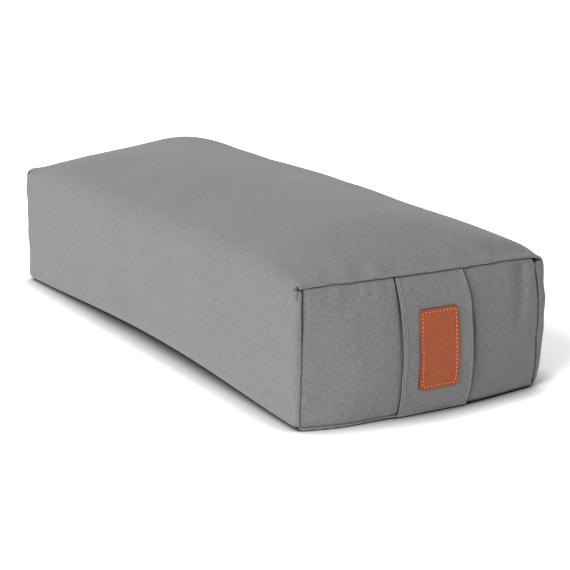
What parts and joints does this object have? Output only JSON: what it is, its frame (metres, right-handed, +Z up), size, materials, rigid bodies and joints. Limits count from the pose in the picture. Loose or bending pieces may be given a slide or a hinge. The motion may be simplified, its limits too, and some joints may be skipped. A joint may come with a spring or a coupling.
{
  "type": "yoga bolster",
  "caption": "Rectangular yoga bolster with a zipped woven cover, sewn-in end panels, a carrying strap with a leather patch, and a zipped inner bag of grain husks.",
  "frame": {"origin": "on the floor under the middle of the cover, on its flat base", "axes": "+X along the length towards the carrying strap, +Y across towards the zips, +Z up"},
  "size_m": [0.7559, 0.3046, 0.196],
  "materials": {
    "grey_cotton": "matte mid-grey woven cotton",
    "grey_thread": "grey sewing thread",
    "tan_leather": "smooth orange-brown leather",
    "orange_thread": "light orange waxed thread",
    "zip_tape": "woven grey zip tape",
    "zip_teeth": "moulded grey plastic",
    "zip_stop": "moulded grey plastic",
    "zip_metal": "plain zinc-grey metal",
    "natural_cotton": "unbleached woven cotton",
    "natural_thread": "unbleached cotton thread",
    "grain_husk": "loose dry grain husks"
  },
  "bodies": {
    "bolster": {"cover_wrap": "grey_cotton", "cover_end_front": "grey_cotton", "cover_end_rear": "grey_cotton", "handle_strap": "grey_cotton", "handle_stitching_left": "grey_thread", "handle_stitching_right": "grey_thread", "cover_zip_stitching_upper": "grey_thread", "cover_zip_stitching_lower": "grey_thread", "handle_patch": "tan_leather", "handle_patch_stitching": "orange_thread", "cover_zip_tape_upper": "zip_tape", "cover_zip_tape_lower": "zip_tape", "bag_zip_tape_upper": "zip_tape", "bag_zip_tape_lower": "zip_tape", "cover_zip_teeth_upper": "zip_teeth", "cover_zip_teeth_lower": "zip_teeth", "bag_zip_teeth_upper": "zip_teeth", "bag_zip_teeth_lower": "zip_teeth", "cover_zip_stop_front": "zip_stop", "cover_zip_stop_rear": "zip_stop", "bag_zip_stop_front": "zip_stop", "bag_zip_stop_rear": "zip_stop", "bag_wrap": "natural_cotton", "bag_end_front": "natural_cotton", "bag_end_rear": "natural_cotton", "bag_zip_stitching_upper": "natural_thread", "bag_zip_stitching_lower": "natural_thread", "husk_filling": "grain_husk"},
    "cover_slider": {"cover_zip_slider": "zip_metal"},
    "cover_pull": {"cover_zip_pull": "zip_metal"},
    "bag_slider": {"bag_zip_slider": "zip_metal"},
    "bag_pull": {"bag_zip_pull": "zip_metal"}
  },
  "joints": [
    {"name": "cover_zip_slide", "type": "slide", "parent": "bolster", "child": "cover_slider", "axis": [-1, 0, 0], "range_m": [0, 0.488]},
    {"name": "cover_pull_swing", "type": "hinge", "parent": "cover_slider", "child": "cover_pull", "pos_m": [0.2442, 0.1527, 0.062], "axis": [0, 0, -1], "range_deg": [0, 180]},
    {"name": "bag_zip_slide", "type": "slide", "parent": "bolster", "child": "bag_slider", "axis": [-1, 0, 0], "range_m": [0, 0.268]},
    {"name": "bag_pull_swing", "type": "hinge", "parent": "bag_slider", "child": "bag_pull", "pos_m": [0.1342, 0.14326, 0.062], "axis": [0, 0, -1], "range_deg": [0, 6]}
  ]
}
